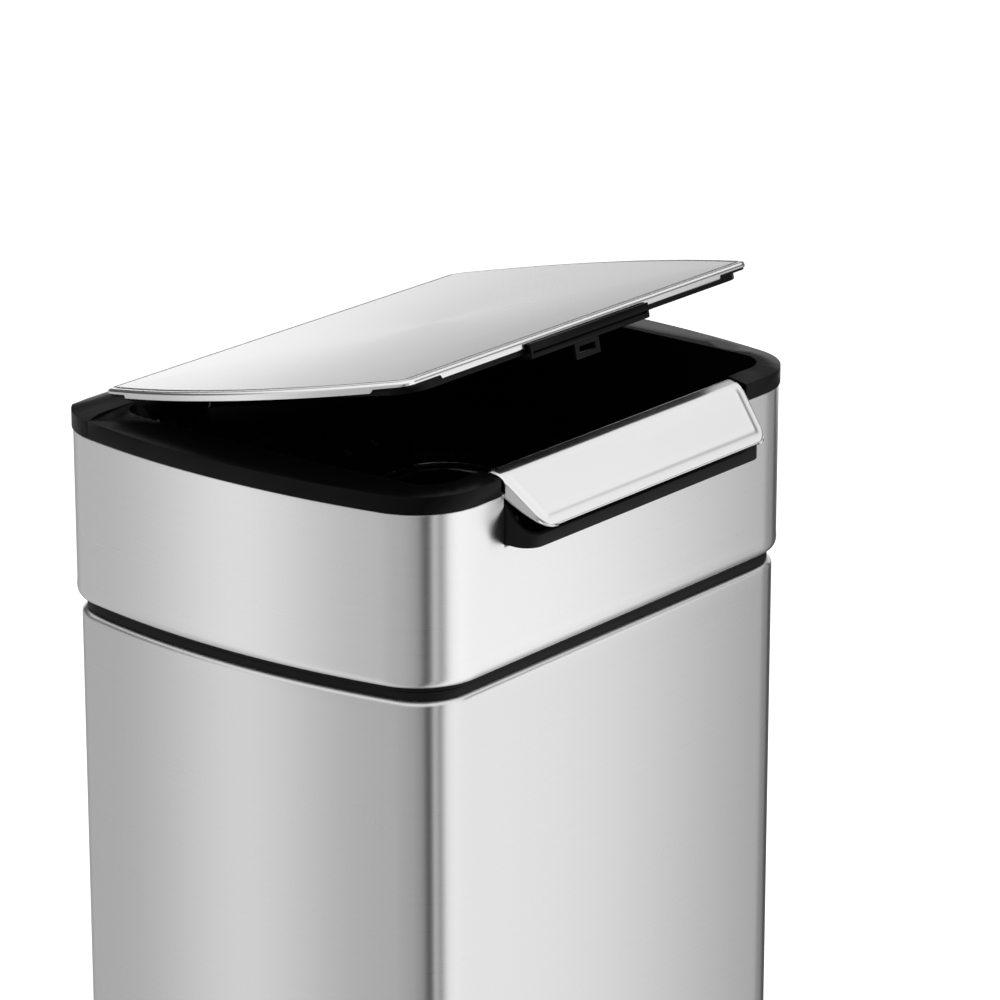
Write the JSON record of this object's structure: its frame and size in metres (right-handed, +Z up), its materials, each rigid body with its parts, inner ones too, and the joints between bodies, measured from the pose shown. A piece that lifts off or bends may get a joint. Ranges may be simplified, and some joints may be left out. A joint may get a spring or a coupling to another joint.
{
  "type": "touch-bar kitchen bin",
  "caption": "Floor-standing kitchen bin in brushed steel with a black rim, a push bar at the front, a sprung lid and a head that hinges up for the bag.",
  "frame": {"origin": "centre of the body's footprint on the floor", "axes": "+Z up, -Y towards the push bar at the front, +X to the right as seen from the front's own side facing the bar"},
  "size_m": [0.406, 0.346, 0.7111],
  "materials": {
    "brushed_steel": "brushed round the perimeter, satin",
    "black_plastic": "fine satin",
    "dark_grey_plastic": "matt",
    "rubber": "matt",
    "bag_film": "thin glossy film",
    "zinc_steel": "zinc plated, satin",
    "spring_steel": "oiled wire"
  },
  "bodies": {
    "bin_body": {"base_tray": "black_plastic", "foot_pads": "rubber", "base_screws": "zinc_steel", "body_shell": "brushed_steel", "seam_ring": "dark_grey_plastic", "bag_hoop": "black_plastic", "bin_liner": "bag_film", "hinge_leaves_lower": "zinc_steel", "lower_leaf_screws": "zinc_steel", "head_hinge_pins": "zinc_steel"},
    "head": {"head_band": "brushed_steel", "rim_frame": "black_plastic", "foot_ring": "dark_grey_plastic", "frame_screws": "zinc_steel", "rear_cover": "black_plastic", "cover_screws": "zinc_steel", "hinge_leaves_upper": "zinc_steel", "upper_leaf_screws": "zinc_steel", "hinge_bracket_left": "zinc_steel", "hinge_bracket_right": "zinc_steel", "bracket_screws": "zinc_steel", "lid_pins": "zinc_steel", "lid_damper_left": "dark_grey_plastic", "lid_damper_right": "dark_grey_plastic", "lid_spring_left": "spring_steel", "lid_spring_right": "spring_steel", "bar_tray": "dark_grey_plastic", "tray_screws": "zinc_steel", "bar_pins": "zinc_steel", "bar_springs": "spring_steel"},
    "touch_bar": {"bar_skin": "brushed_steel", "bar_carrier": "black_plastic", "latch_hook": "black_plastic"},
    "lid": {"lid_skin": "brushed_steel", "lid_panel": "black_plastic", "lid_striker": "black_plastic", "striker_screws": "zinc_steel", "lid_arm_left": "black_plastic", "lid_arm_right": "black_plastic", "arm_screws": "zinc_steel", "lid_bumpers": "rubber"}
  },
  "joints": [
    {"name": "head_hinge", "type": "hinge", "parent": "bin_body", "child": "head", "pos_m": [0, 0.1605, 0.5205], "axis": [-1, 0, 0], "range_deg": [0, 80]},
    {"name": "lid_hinge", "type": "hinge", "parent": "head", "child": "lid", "pos_m": [0, 0.1416, 0.6063], "axis": [-1, 0, 0], "range_deg": [-11.7, 53.3], "stiffness_Nm_per_rad": 1.05, "springref_deg": 74.48},
    {"name": "bar_pivot", "type": "hinge", "parent": "head", "child": "touch_bar", "pos_m": [0, -0.151, 0.618], "axis": [1, 0, 0], "range_deg": [0, 8], "stiffness_Nm_per_rad": 0.8, "springref_deg": -8.59, "deforming": ["bar_springs"]}
  ]
}
